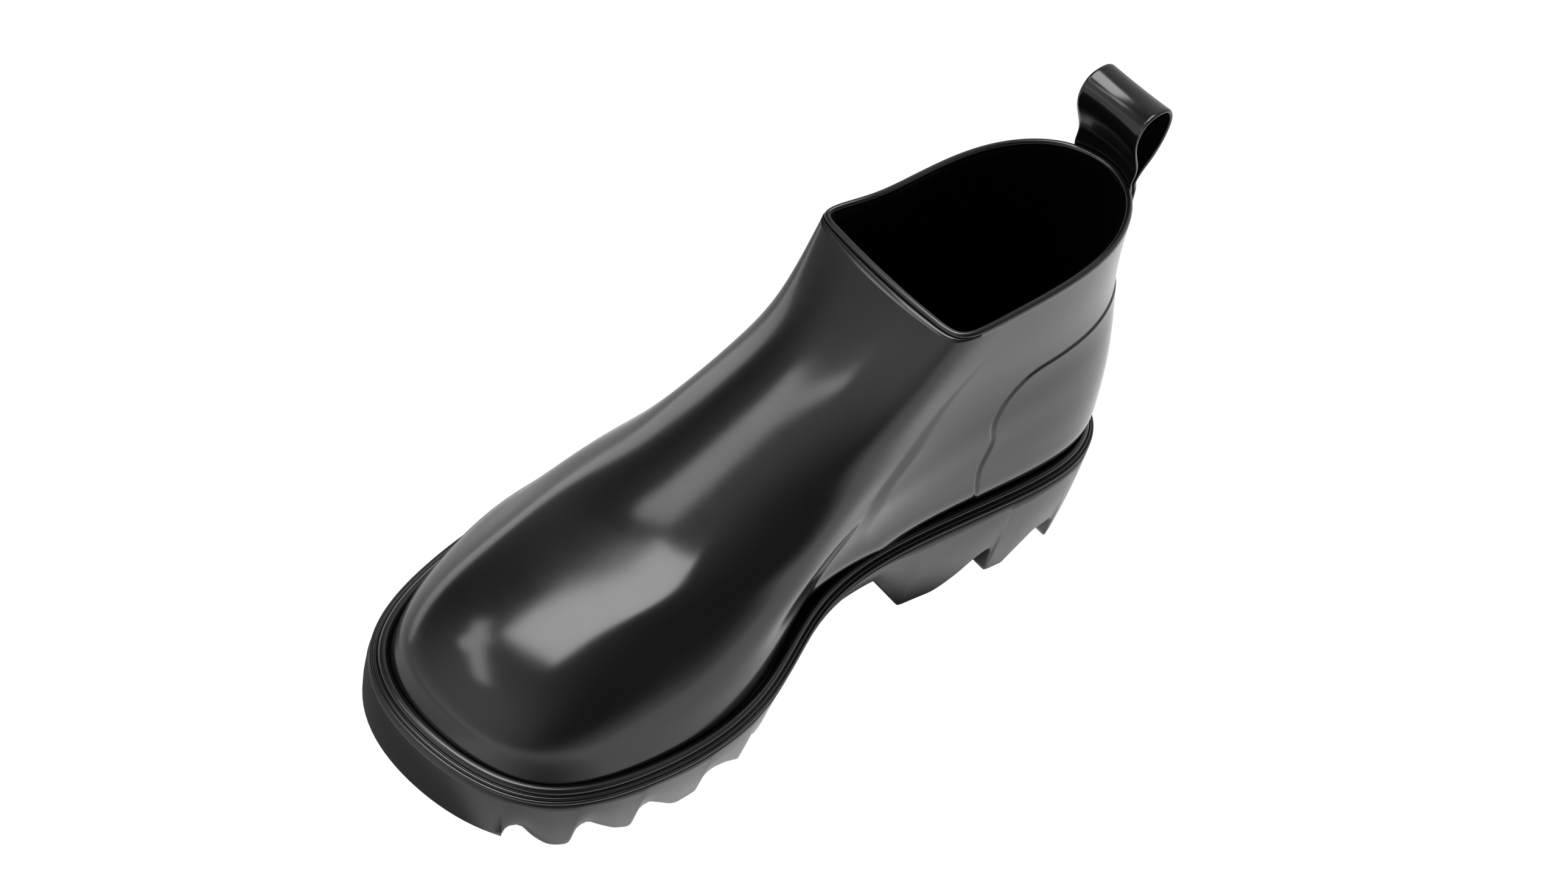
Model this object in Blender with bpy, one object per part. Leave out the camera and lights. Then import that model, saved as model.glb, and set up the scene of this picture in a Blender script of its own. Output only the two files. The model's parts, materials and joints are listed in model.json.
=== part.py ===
"""Right-foot ankle boot in moulded rubber: thick lugged sole, ribbed welt, pull tab at the heel.

Toe towards -Y, heel towards +Y, inner (medial) side of the foot towards +X, tread on z = 0.
Lengths in the tables are millimetres; add_body() turns them into metres and puts the origin
under the middle of the boot.
"""
import bpy
import numpy as np

MM = 0.001
MIDDLE = (-4.7, 0.65, 0.0)

# ---- plan outlines, listed anticlockwise from the back of the heel -------------------------
STATIONS = 18
WELT_EDGE = [(-1, 139.5), (23, 132.5), (36, 108), (34, 72), (29.5, 36), (33, 2), (48.5, -33), (53, -76),
             (42, -116.5), (5, -135), (-34, -127.5), (-55.5, -91), (-62.5, -52), (-52.5, -10),
             (-42.5, 35), (-38.5, 75), (-37.5, 108), (-24.5, 132.5)]
COLLAR_EDGE = [(0, 128.4), (16.5, 121.5), (28, 103), (31.8, 80), (31.8, 58.5), (31, 44), (27, 36.8), (17.5, 35),
               (7.5, 34.5), (-3, 34.4), (-16, 34.6), (-27.8, 35.2), (-35.8, 37.2), (-35.8, 45),
               (-33.1, 58.5), (-32.8, 80), (-29.7, 103.4), (-18, 122.2)]
FRONT_STATION = 9

# ---- height of the welt underside along the boot --------------------------------------------
WELT_Y = (-140, 140)
WELT_Z = [31.4, 28.0, 24.2, 26.9, 32.8, 37.9, 41.8, 42.3]

# ---- upper surface: one row per level, from the sole to the collar --------------------------
# front y, front z, back y, back z, inner blend, outer blend, lengthwise blend, inner bulge,
# outer bulge, toe crown, inner shoulder, outer shoulder.  A blend of 0 follows the sole outline,
# 1 follows the collar; a shoulder is extra height a quarter of the way back from the front.
UPPER_ROWS = [
    (-128.7, 33.6, 135.4, 46.6, 0.00, 0.00, 0.00, 0.0, 0.0, 0.00, 0.0, 0.0),
    (-126.0, 38.4, 136.6, 53.8, 0.20, 0.11, 0.06, 4.4, 1.0, 0.04, 2.6, 4.4),
    (-124.6, 42.0, 137.2, 62.5, 0.20, 0.24, 0.08, 3.8, 2.8, 0.05, 0.4, 5.4),
    (-113.0, 54.0, 137.6, 72.4, 0.28, 0.38, 0.13, 3.8, 5.6, 0.10, -3.0, -2.6),
    (-82.2, 64.6, 137.2, 83.5, 0.57, 0.39, 0.16, 4.0, 7.4, 0.08, -0.8, -7.2),
    (-59.0, 66.9, 136.3, 95.7, 0.60, 0.72, 0.35, 3.0, 3.7, 0.06, 2.0, 0.0),
    (-41.4, 76.0, 134.0, 106.2, 0.84, 0.86, 0.29, -6.0, 0.7, 0.13, 6.2, 2.2),
    (-9.2, 96.4, 131.8, 117.0, 0.85, 0.92, 0.53, -6.2, -0.3, 0.08, 3.9, -5.2),
    (11.1, 111.2, 130.1, 129.3, 0.90, 1.14, 0.76, -2.8, -0.1, 0.00, 3.2, -5.6),
    (34.4, 136.2, 128.4, 144.4, 1.00, 1.00, 1.00, 0.0, 0.0, 0.00, 0.0, 1.2)]

# ---- sole profile seen from the side: distance along the boot, height -----------------------
TREAD = [(-125, 12), (-123.2, 18.5), (-120.5, 19.5), (-117.5, 14), (-113.5, 9), (-109.5, 7), (-106.8, 7.2),
         (-105, 16.5), (-102.5, 18), (-97.5, 12.5), (-91.5, 6), (-86, 2.2), (-84.8, 3), (-83.6, 13.2),
         (-80.8, 14), (-75, 7.8), (-70, 2), (-66, 0), (-59, 0), (-58, 9.6), (-55, 11), (-49, 8),
         (-43, 2.6), (-40, 0), (-37.8, 0), (-36.8, 9.6), (-34.2, 8.4), (-30.5, 0), (-26, 0), (-25, 8.5),
         (-18, 13.2), (-5, 17.8), (10, 21.6), (30, 24.3), (46.5, 0), (62, 0), (69.5, 5), (75, 12), (80.5, 15.5),
         (82.3, 14), (83.2, 0), (91, 0), (97, 8), (102, 13.5), (110.5, 13.5), (112.4, 12), (113.2, 0),
         (121, 0)]
# how far the side of the sole stands out from the welt edge where it would meet the ground
SIDE_FLARE = [(-125, 4.6), (-110, -0.4), (-90, -2.8), (-70, -3.6), (-40, -3.2), (-15, -8.5), (15, -9.5),
              (47, -3.0), (90, -3.8), (113, -3.3), (121, -3.3)]
SOLE_ACROSS = 8
TUB_DEPTH = [(-118, 5.4), (-105, 6.5), (-60, 8.5), (-40, 8.5), (-32, 3.4), (38, 3.4), (45, 18), (121, 18)]

# ---- welt section: distance from its edge (inwards is negative), height above its underside ---
WELT_SECTION = [(-5.5, 0.3), (-0.4, 0.3), (-0.1, 1.0), (-0.7, 1.6), (-1.1, 2.2), (-1.8, 2.1), (-2.3, 2.8),
                (-3.4, 3.5), (-4.4, 3.5), (-5.2, 3.0), (-5.5, 2.4)]

# ---- pull tab profile at its edges: distance along the boot, height -------------------------
TAB_PROFILE = [(124.2, 145.3), (123.6, 149), (122.3, 153.5), (119.2, 160.5), (117.6, 167.2), (118.5, 173.3),
               (122.5, 176.6), (128, 177.3), (131.8, 175.2), (133.6, 169.6), (133.2, 162.8), (131.6, 156),
               (129.6, 151), (127.8, 145.3)]
TAB_HOLE = [(126, 148.3), (125.3, 150.5), (123.8, 154.6), (120.9, 161.3), (119.4, 167.2), (120.1, 172.5),
            (123.2, 174.9), (127.8, 175.5), (130.5, 174), (131.8, 169.5), (131.4, 163.2), (129.9, 156.7),
            (128, 152), (126.2, 148.3)]
TAB_BOW = 3.7
TAB_HINGE = (0.0, 127.5, 144.5)

# ---- layers ----------------------------------------------------------------------------------
GAP = 0.3
WELT_WIDTH = 5.8
WELT_THICK = 3.5
UPPER_THICK = 2.4
PUFF_THICK = 1.4
LINING_THICK = 1.5
COUNTER_THICK = 1.3
RIM_RADIUS = 1.9
TUB_INSET = 10.2
BOARD_THICK = 2.0
SHANK_THICK = 1.6
SHANK_WIDTH = 16.0
FOOTBED_THICK = 4.0
LINING_GAP = 0.6
BOARD_INSET = 11.4
FOOTBED_INSET = 17.4
COVER_THICK = 1.0
TAB_WIDTH = 27.0
TAB_ROOT_THICK = 3.4
TAB_ROOT_TOP = 143.6

# ---- finishes: colour, roughness ---------------------------------------------------------------
GLOSS_RUBBER = ((0.012, 0.012, 0.013), 0.22)
SOLE_RUBBER = ((0.018, 0.018, 0.019), 0.38)
KNIT = ((0.02, 0.02, 0.022), 0.9)
STIFFENER = ((0.25, 0.22, 0.18), 0.7)
BOARD = ((0.45, 0.36, 0.25), 0.8)
FOAM = ((0.05, 0.05, 0.055), 0.85)
STEEL = ((0.55, 0.56, 0.58), 0.35)

# ---- mesh fineness -----------------------------------------------------------------------------
AROUND = 54
LEVELS = 12


# ---- curves ------------------------------------------------------------------------------------
def basis(t, count, closed):
    """Uniform cubic B-spline weights: one line per parameter, one column per control point."""
    t = np.atleast_1d(np.asarray(t, float))
    x = t * count if closed else t * (count - 1)
    cell = np.floor(x).astype(int)
    if not closed:
        cell = np.clip(cell, 0, count - 2)
    f = x - cell
    weights = [(1 - f) ** 3 / 6, (3 * f ** 3 - 6 * f ** 2 + 4) / 6,
               (-3 * f ** 3 + 3 * f ** 2 + 3 * f + 1) / 6, f ** 3 / 6]
    out = np.zeros((len(t), count))
    for step, weight in zip((-1, 0, 1, 2), weights):
        for line, (k, w) in enumerate(zip(cell + step, weight)):
            if closed:
                out[line, k % count] += w
            elif k < 0:
                out[line, 0] += 2 * w
                out[line, 1] -= w
            elif k >= count:
                out[line, count - 1] += 2 * w
                out[line, count - 2] -= w
            else:
                out[line, k] += w
    return out


def loop_through(points, count):
    """Closed smooth curve through the points, sampled evenly in parameter."""
    points = np.asarray(points, float)
    n = len(points)
    control = np.linalg.solve(basis(np.arange(n) / n, n, True), points)
    return basis(np.arange(count) / count, n, True) @ control


def outward(points):
    """Unit normals in plan, pointing away from the middle of a closed loop."""
    step = np.roll(points, -1, 0) - np.roll(points, 1, 0)
    normal = np.c_[step[:, 1], -step[:, 0]]
    normal /= np.linalg.norm(normal, axis=1)[:, None]
    if (normal * (points[:, :2] - points[:, :2].mean(0))).sum() < 0:
        normal = -normal
    return normal


def welt_height(y):
    """Height of the line where the welt meets the side of the sole."""
    n = len(WELT_Z)
    control = np.linalg.solve(basis(np.arange(n) / (n - 1), n, False), WELT_Z)
    t = (np.asarray(y, float) - WELT_Y[0]) / (WELT_Y[1] - WELT_Y[0])
    return basis(np.clip(t, 0, 1), n, False) @ control


def table(pairs, y):
    """Straight-line reading of a (distance, value) table."""
    xs, values = zip(*pairs)
    return np.interp(y, xs, values)


# ---- upper surface ----------------------------------------------------------------------------
def upper_net():
    """Grid of points that steers the outside of the upper."""
    edge = np.array(WELT_EDGE, float)
    collar = np.array(COLLAR_EDGE, float)
    foot = edge - outward(edge) * WELT_WIDTH
    normal = outward(foot)
    back, front = foot[0, 1], foot[FRONT_STATION, 1]
    along_foot = (back - foot[:, 1]) / (back - front)
    along_collar = (collar[0, 1] - collar[:, 1]) / (collar[0, 1] - collar[FRONT_STATION, 1])
    height = welt_height(foot[:, 1]) + WELT_THICK
    wave = height - (height[0] + along_foot * (height[FRONT_STATION] - height[0]))
    toe = np.exp(-((np.arange(STATIONS) - FRONT_STATION) / 2.4) ** 2)
    inner = np.clip(foot[:, 0] / 25 + 0.5, 0, 1)
    rows = []
    for yf, zf, yb, zb, blend_in, blend_out, lengthwise, bulge_in, bulge_out, crown, *shoulders in UPPER_ROWS:
        blend = blend_in * inner + blend_out * (1 - inner)
        bulge = bulge_in * inner + bulge_out * (1 - inner)
        along = (1 - lengthwise) * along_foot + lengthwise * along_collar
        x = (1 - blend) * (foot[:, 0] + normal[:, 0] * bulge) * (1 - crown * toe) + blend * collar[:, 0]
        y = yb + along * (yf - yb)
        shoulder = shoulders[0] * inner + shoulders[1] * (1 - inner)
        z = zb + along * (zf - zb) + (1 - blend) * wave + shoulder * 9.5 * along ** 3 * (1 - along)
        rows.append(np.c_[x, y, z])
    return np.array(rows)


def upper_points(u, v):
    """Points on the outside of the upper and outward normals, for matching lists of u and v."""
    net = upper_net()
    stations = np.arange(STATIONS) / STATIONS
    net = np.einsum('jk,rkc->rjc', np.linalg.inv(basis(stations, STATIONS, True)), net)
    u, v = np.ravel(u), np.ravel(v)
    step = 1e-3

    def at(u, v):
        return np.einsum('nr,rkc,nk->nc', basis(v, len(net), False), net, basis(u, STATIONS, True))

    points = at(u, v)
    low, high = np.maximum(v - step, 0), np.minimum(v + step, 1)
    normal = np.cross(at(u + step, v) - at(u - step, v), at(u, high) - at(u, low))
    normal /= np.linalg.norm(normal, axis=1)[:, None]
    if (normal[:, :2] * (points[:, :2] - points[:, :2].mean(0))).sum() < 0:
        normal = -normal
    return points, normal


def upper_layer(u, v, offset):
    """Grid of points [v, u] standing off the outside of the upper."""
    points, normal = upper_points(u, v)
    return (points + normal * offset).reshape(*np.shape(u), 3)


def inner_layer(u, v, depth):
    """Grid of points [v, u] under the outside of the upper, all the way round.

    The directions are averaged with their neighbours so that tight corners do not fold.
    """
    points, normal = upper_points(u, v)
    points, normal = points.reshape(*u.shape, 3), normal.reshape(*u.shape, 3)
    weights = ((-3, 1), (-2, 2), (-1, 3), (0, 3), (1, 3), (2, 2), (3, 1))
    eased = sum(weight * np.roll(normal, shift, 1) for shift, weight in weights)
    eased /= np.linalg.norm(eased, axis=2)[:, :, None]
    return points - eased * np.broadcast_to(depth, u.shape)[:, :, None]


def rim_level(u, drop):
    """The v at which the upper lies a given distance below its top line."""
    points, _ = upper_points(u, np.ones_like(u))
    lower, _ = upper_points(u, np.full_like(u, 0.97))
    return 1 - 0.03 * drop / (points[:, 2] - lower[:, 2])


# ---- mesh helpers ------------------------------------------------------------------------------
def material(name, colour, rough):
    made = bpy.data.materials.new(name)
    made.use_nodes = True
    shader = made.node_tree.nodes["Principled BSDF"]
    shader.inputs["Base Color"].default_value = (*colour, 1)
    shader.inputs["Roughness"].default_value = rough
    return made


def add_body(name, vertices, faces, finish, origin=MIDDLE):
    """One closed body from millimetre vertices, placed with its origin where asked."""
    moved = (np.asarray(vertices, float) - np.asarray(origin, float)) * MM
    mesh = bpy.data.meshes.new(name)
    mesh.from_pydata([tuple(v) for v in moved], [], [tuple(f) for f in faces])
    mesh.validate()
    if signed_volume(moved, faces) < 0:
        mesh.flip_normals()
    mesh.materials.append(material(name, *finish))
    for face in mesh.polygons:
        face.use_smooth = True
    made = bpy.data.objects.new(name, mesh)
    made.location = (np.asarray(origin, float) - np.asarray(MIDDLE)) * MM
    bpy.context.collection.objects.link(made)
    return made


def signed_volume(points, faces):
    total = 0.0
    for face in faces:
        for k in range(1, len(face) - 1):
            total += np.dot(points[face[0]], np.cross(points[face[k]], points[face[k + 1]]))
    return total / 6


def ring_faces(rows, columns):
    """Quads between closed rings of points, the last ring joined to the first."""
    faces = []
    for i in range(rows):
        below = i * columns
        above = ((i + 1) % rows) * columns
        for j in range(columns):
            k = (j + 1) % columns
            faces.append((below + j, below + k, above + k, above + j))
    return faces


def add_rings(name, rings, finish):
    """Body swept from rings that close on themselves, like a tube bent into a loop."""
    rings = np.array(rings)
    rows, columns = rings.shape[:2]
    return add_body(name, rings.reshape(-1, 3), ring_faces(rows, columns), finish)


def add_patch(name, outside, inside, finish):
    """Closed body between two open grids of points [row, column]."""
    rows, columns = outside.shape[:2]
    count = rows * columns
    vertices = np.vstack([outside.reshape(-1, 3), inside.reshape(-1, 3)])
    faces = []
    for i in range(rows - 1):
        for j in range(columns - 1):
            a = i * columns + j
            faces.append((a, a + 1, a + columns + 1, a + columns))
            faces.append((count + a, count + a + columns, count + a + columns + 1, count + a + 1))
    edge = perimeter(rows, columns)
    for k, a in enumerate(edge):
        b = edge[(k + 1) % len(edge)]
        faces.append((b, a, count + a, count + b))
    return add_body(name, vertices, faces, finish)


def perimeter(rows, columns):
    """Indices round the edge of a grid, in the direction row 0 first."""
    edge = list(range(columns))
    edge += [i * columns + columns - 1 for i in range(1, rows)]
    edge += [(rows - 1) * columns + j for j in range(columns - 2, -1, -1)]
    edge += [i * columns for i in range(rows - 2, 0, -1)]
    return edge


# ---- sole grid -----------------------------------------------------------------------------------
def even(points, count):
    """Points spaced evenly by length along an open line."""
    length = np.r_[0, np.cumsum(np.linalg.norm(np.diff(points, axis=0), axis=1))]
    want = np.linspace(0, length[-1], count)
    return np.c_[np.interp(want, length, points[:, 0]), np.interp(want, length, points[:, 1])]


def sole_grid(ys, offset, across, curved=(True, True)):
    """Plan grid filling the sole outline: rows run side to side.

    offset moves each row's ends out from the welt edge.  Where curved, the first or last row
    follows the toe or the heel instead of running straight across.
    """
    ys = np.asarray(ys, float)
    offset = np.broadcast_to(np.asarray(offset, float), ys.shape)
    base = loop_through(WELT_EDGE, 720)
    normal = outward(base)
    half = len(base) // 2
    sides = []
    for part in (slice(half, None), slice(0, half)):
        side, lean = base[part], normal[part]
        order = np.argsort(side[:, 1])
        x = np.interp(ys, side[order, 1], side[order, 0])
        nx = np.interp(ys, side[order, 1], lean[order, 0])
        sides.append(x + offset / nx)
    left, right = sides
    share = np.linspace(0, 1, across + 1)
    grid = np.zeros((len(ys), across + 1, 2))
    grid[:, :, 0] = left[:, None] + (right - left)[:, None] * share
    grid[:, :, 1] = ys[:, None]
    for k, sign in ((0, 1), (-1, -1)):
        if not curved[k]:
            continue
        arc = base + normal * offset[k]
        arc = arc[(ys[k] - arc[:, 1]) * sign > 0.5]
        arc = arc[np.argsort(arc[:, 0])]
        grid[k] = even(np.vstack([grid[k, 0], arc, grid[k, -1]]), across + 1)
    return grid


def lift(grid, height):
    """Give plan points a height: a function of distance along the boot, or one value per row."""
    z = height(grid[:, :, 1]) if callable(height) else np.broadcast_to(height, grid.shape[:2])
    return np.dstack([grid, z])


def welt_line(y):
    return welt_height(np.ravel(y)).reshape(np.shape(y))


def tub_floor(y):
    """Floor of the hollow in the top of the sole."""
    return welt_line(y) - table(TUB_DEPTH, y)


def board_underside(y):
    return welt_line(y) - BOARD_THICK / 2


def above(height, amount):
    """The same height function, raised."""
    return lambda y: height(y) + amount


def add_plate(name, ys, inset, low, high, finish, curved=(True, True)):
    """Flat-lying body inside the sole outline; low and high are functions of distance along it."""
    grid = sole_grid(ys, -inset, 6, curved)
    return add_patch(name, lift(grid, high), lift(grid, low), finish)


# ---- pieces --------------------------------------------------------------------------------------
def outsole(finish):
    """Lugged sole and heel block in one moulding, with a hollow in its upper face."""
    ys, heights = np.array(TREAD, float).T
    rows, columns = len(ys), SOLE_ACROSS + 1
    flare = table(SIDE_FLARE, ys) * (1 - heights / welt_line(ys))
    bottom = lift(sole_grid(ys, flare, SOLE_ACROSS), heights[:, None])
    tub_ys = np.interp(ys, (ys[0], ys[-1]), (-116, 118))
    tub = sole_grid(tub_ys, -TUB_INSET, SOLE_ACROSS)
    rim = sole_grid(ys, 0.0, SOLE_ACROSS)
    layers = [bottom, lift(rim, welt_line), lift(tub, welt_line), lift(tub, tub_floor)]
    edge = perimeter(rows, columns)
    vertices = [bottom.reshape(-1, 3), layers[1].reshape(-1, 3)[edge], layers[2].reshape(-1, 3)[edge],
                layers[3].reshape(-1, 3)]
    starts = np.cumsum([0] + [len(part) for part in vertices])
    faces = []
    for i in range(rows - 1):
        for j in range(columns - 1):
            a = i * columns + j
            b = starts[3] + a
            faces.append((a, a + columns, a + columns + 1, a + 1))
            faces.append((b, b + 1, b + columns + 1, b + columns))
    count = len(edge)
    chain = [edge, [starts[1] + k for k in range(count)], [starts[2] + k for k in range(count)],
             [starts[3] + e for e in edge]]
    for low, high in zip(chain[:-1], chain[1:]):
        for k in range(count):
            m = (k + 1) % count
            faces.append((low[k], low[m], high[m], high[k]))
    return add_body("outsole", np.vstack(vertices), faces, finish)


def sole_fillings():
    """Pieces laid in the hollow of the sole, and the board that closes it."""
    floor = above(tub_floor, 3 * GAP)
    ceiling = above(board_underside, -GAP)
    add_plate("forefoot_filler", np.linspace(-106, -43, 9), BOARD_INSET, floor, ceiling, FOAM, (True, False))
    under_shank = above(ceiling, -SHANK_THICK - GAP)
    add_plate("heel_core", np.linspace(52, 115, 8), BOARD_INSET, floor, under_shank, FOAM, (False, True))
    y = np.linspace(-28, 60, 10)
    grid = np.dstack(np.meshgrid(np.linspace(-SHANK_WIDTH / 2, SHANK_WIDTH / 2, 3) - 4, y))
    add_patch("shank", lift(grid, ceiling), lift(grid, above(ceiling, -SHANK_THICK)), STEEL)
    add_plate("insole_board", np.linspace(-114, 116, 16), BOARD_INSET, board_underside,
              above(board_underside, BOARD_THICK), BOARD)


def footbed_layers():
    """Footbed on the board and the cloth that covers it."""
    y = np.linspace(-108, 110, 16)
    low = above(board_underside, BOARD_THICK + GAP)
    add_plate("footbed", y, FOOTBED_INSET, low, above(low, FOOTBED_THICK), FOAM)
    low = above(low, FOOTBED_THICK + GAP)
    add_plate("footbed_cover", y, FOOTBED_INSET, low, above(low, COVER_THICK), KNIT)


def welt(finish):
    """Ribbed strip round the foot of the upper."""
    edge = loop_through(WELT_EDGE, AROUND)
    u = np.arange(AROUND) / AROUND
    foot, _ = upper_points(u, np.zeros(AROUND))
    rings = []
    for outer, inner in zip(edge, foot[:, :2]):
        base = welt_line(outer[1])
        rings.append([(*(outer + (outer - inner) * out / WELT_WIDTH), base + up) for out, up in WELT_SECTION])
    return add_rings("welt", rings, finish)


def wall(name, outside, inside, foot_height, finish):
    """Body between two grids [level, around], both carried straight down to foot_height."""
    rings = []
    least_rise = 0.4 * np.arange(1, len(outside) + 1)
    for k in range(outside.shape[1]):
        base = foot_height(outside[0, k, 1])
        out, back = outside[:, k].copy(), inside[:, k].copy()
        for line in (out, back):
            line[:, 2] = np.maximum(line[:, 2], base + least_rise)
        rings.append([(*out[0, :2], base), *out, *back[::-1], (*back[0, :2], base)])
    return add_rings(name, rings, finish)


def upper_grid():
    """u and v of the common grid that every layer of the upper is cut from."""
    u = np.arange(AROUND) / AROUND
    top = rim_level(u, 2 * RIM_RADIUS + 3 * GAP)
    level = np.linspace(0, 1, LEVELS + 1)[:, None]
    return np.broadcast_to(u, (LEVELS + 1, AROUND)), level * top


def near_station(centre, reach):
    """Column numbers within reach of a column, in order, wrapping past the start."""
    return np.arange(centre - reach, centre + reach + 1) % AROUND


TOE_COLUMNS = near_station(AROUND // 2, 8)
HEEL_COLUMNS = near_station(0, 9)
PUFF_LEVELS = slice(1, 5)
STIFFENER_LEVELS = slice(1, 8)


def lining_depth(shape):
    """Depth of the outer face of the lining: deeper where it passes over a stiffener."""
    level, column = np.indices(shape)
    cover = np.zeros(shape)
    for centre, reach, levels in ((AROUND // 2, 9, 5), (0, 10, 8)):
        apart = np.abs((column - centre + AROUND // 2) % AROUND - AROUND // 2)
        beside = np.clip((reach + 3 - apart) / 3, 0, 1)
        cover = np.maximum(cover, beside * np.clip((levels + 3 - level) / 3, 0, 1))
    return UPPER_THICK + LINING_GAP + cover * (PUFF_THICK + GAP)


def upper_layers():
    """Outer shell, toe and heel stiffeners, and the lining behind them."""
    u, v = upper_grid()
    shell_foot = above(welt_line, GAP)
    wall("upper_shell", upper_layer(u, v, 0.0), inner_layer(u, v, UPPER_THICK), shell_foot, GLOSS_RUBBER)
    depth = lining_depth(u.shape)
    lining_foot = above(board_underside, BOARD_THICK + GAP)
    wall("lining", inner_layer(u, v, depth), inner_layer(u, v, depth + LINING_THICK), lining_foot, KNIT)
    near = inner_layer(u, v, UPPER_THICK + GAP)
    far = inner_layer(u, v, UPPER_THICK + GAP + PUFF_THICK)
    for name, columns, levels in (("toe_puff", TOE_COLUMNS, PUFF_LEVELS),
                                  ("counter_stiffener", HEEL_COLUMNS, STIFFENER_LEVELS)):
        add_patch(name, near[levels][:, columns], far[levels][:, columns], STIFFENER)


def heel_counter(finish):
    """Raised panel moulded over the back of the heel."""
    u, v = upper_grid()
    columns = HEEL_COLUMNS
    reach = np.abs(np.arange(len(columns)) - len(columns) // 2) / AROUND
    top = 0.705 - 0.015 * np.clip(1 - reach / 0.17, 0, 1)
    share = np.linspace(0, 1, 10)[:, None]
    vv = 0.012 + share * (top - 0.012)
    uu = np.broadcast_to(u[0, columns], vv.shape)
    outer = upper_layer(uu, vv, GAP + COUNTER_THICK)
    return add_patch("heel_counter", outer, upper_layer(uu, vv, GAP), finish)


def topline_binding(finish):
    """Rolled bead along the top line."""
    u = np.arange(AROUND)[None, :] / AROUND
    v = np.ones_like(u)
    points = upper_layer(u, v, 0.0)[0]
    normal = points - inner_layer(u, v, 1.0)[0]
    normal[:, 2] = 0
    normal /= np.linalg.norm(normal, axis=1)[:, None]
    angles = np.arange(8) * 2 * np.pi / 8
    rings = []
    for point, away in zip(points, normal):
        centre = point - away * RIM_RADIUS - np.array((0, 0, RIM_RADIUS))
        rings.append([centre + away * RIM_RADIUS * np.cos(a) + np.array((0, 0, RIM_RADIUS * np.sin(a)))
                      for a in angles])
    return add_rings("topline_binding", rings, finish)


def pull_tab(finish):
    """Loop of rubber strip, free to bend at its root, and the tongue that bonds it to the back."""
    xs = np.linspace(-TAB_WIDTH / 2, TAB_WIDTH / 2, 7)
    loops = []
    for profile in (TAB_PROFILE, TAB_HOLE):
        sheet = []
        for x in xs:
            bow = TAB_BOW * (1 - (2 * x / TAB_WIDTH) ** 2)
            line = [(x, y + bow * (1 - 0.75 * (z - 145) / 30), z) for y, z in profile]
            sheet.append(line)
        loops.append(np.array(sheet))
    outer, hole = loops
    count = len(TAB_PROFILE)
    vertices = np.vstack([outer.reshape(-1, 3), hole.reshape(-1, 3)])
    inner = len(xs) * count
    faces = []
    for i in range(len(xs) - 1):
        for j in range(count):
            a, b = i * count + j, i * count + (j + 1) % count
            faces.append((a, b, b + count, a + count))
            faces.append((inner + a, inner + a + count, inner + b + count, inner + b))
    last = (len(xs) - 1) * count
    for j in range(count):
        k = (j + 1) % count
        faces.append((j, inner + j, inner + k, k))
        faces.append((last + j, last + k, inner + last + k, inner + last + j))
    add_body("pull_tab", vertices, faces, finish, TAB_HINGE)


def pull_tab_root(finish):
    """Tongue bonded to the outside of the back, carrying the loop."""
    ring, _ = upper_points(np.linspace(-0.06, 0.06, 61), np.ones(61))
    reach = np.interp(TAB_WIDTH / 2, ring[:, 0], np.linspace(-0.06, 0.06, 61))
    u = np.linspace(-reach, reach, 7)
    v = np.array([0.88, 0.91, 0.94, 0.975])
    uu, vv = np.meshgrid(u, v)
    front, back = upper_layer(uu, vv, GAP), upper_layer(uu, vv, GAP + TAB_ROOT_THICK)
    sheets = []
    for sheet in (back, front):
        top = sheet[-1:].copy()
        top[:, :, 2] = TAB_ROOT_TOP
        sheets.append(np.vstack([sheet, top]))
    return add_patch("pull_tab_root", sheets[0], sheets[1], finish)


def build():
    for old in list(bpy.data.objects):
        bpy.data.objects.remove(old, do_unlink=True)
    outsole(SOLE_RUBBER)
    sole_fillings()
    footbed_layers()
    welt(GLOSS_RUBBER)
    upper_layers()
    heel_counter(GLOSS_RUBBER)
    topline_binding(GLOSS_RUBBER)
    pull_tab(GLOSS_RUBBER)
    pull_tab_root(GLOSS_RUBBER)


build()
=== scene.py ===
"""Looks of a right-foot ankle boot in moulded rubber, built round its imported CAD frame.

Toe towards -Y, heel towards +Y, inner (medial) side of the foot towards +X, tread on z = 0.
Tables are millimetres from the last's own middle, as in the part; in_frame() turns them into
metres in the frame.  The frame's hinge gives the place of that middle.
"""
import json

import bpy
import numpy as np
from mathutils import Matrix, Quaternion, Vector


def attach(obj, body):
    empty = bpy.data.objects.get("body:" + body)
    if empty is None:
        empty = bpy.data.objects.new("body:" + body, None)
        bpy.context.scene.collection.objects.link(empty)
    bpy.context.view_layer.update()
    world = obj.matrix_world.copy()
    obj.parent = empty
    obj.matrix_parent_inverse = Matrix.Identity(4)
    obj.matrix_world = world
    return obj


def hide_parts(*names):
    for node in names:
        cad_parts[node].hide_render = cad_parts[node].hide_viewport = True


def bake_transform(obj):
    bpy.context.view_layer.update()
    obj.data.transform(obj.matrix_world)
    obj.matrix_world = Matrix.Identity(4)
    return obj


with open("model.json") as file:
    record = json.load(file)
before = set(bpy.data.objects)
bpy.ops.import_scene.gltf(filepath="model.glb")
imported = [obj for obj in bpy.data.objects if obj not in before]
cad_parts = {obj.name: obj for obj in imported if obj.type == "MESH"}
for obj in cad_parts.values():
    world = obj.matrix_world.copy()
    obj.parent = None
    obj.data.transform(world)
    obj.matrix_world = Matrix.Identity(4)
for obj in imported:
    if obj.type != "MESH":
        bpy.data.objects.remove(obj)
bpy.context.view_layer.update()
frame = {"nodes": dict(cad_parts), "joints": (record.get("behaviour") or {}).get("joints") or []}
MM = 0.001
TAB_HINGE = (0.0, 127.5, 144.5)
MIDDLE = np.array(TAB_HINGE) - np.array(frame["joints"][0]["pos_m"]) / MM
MIDDLE[2] = 0.0

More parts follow.
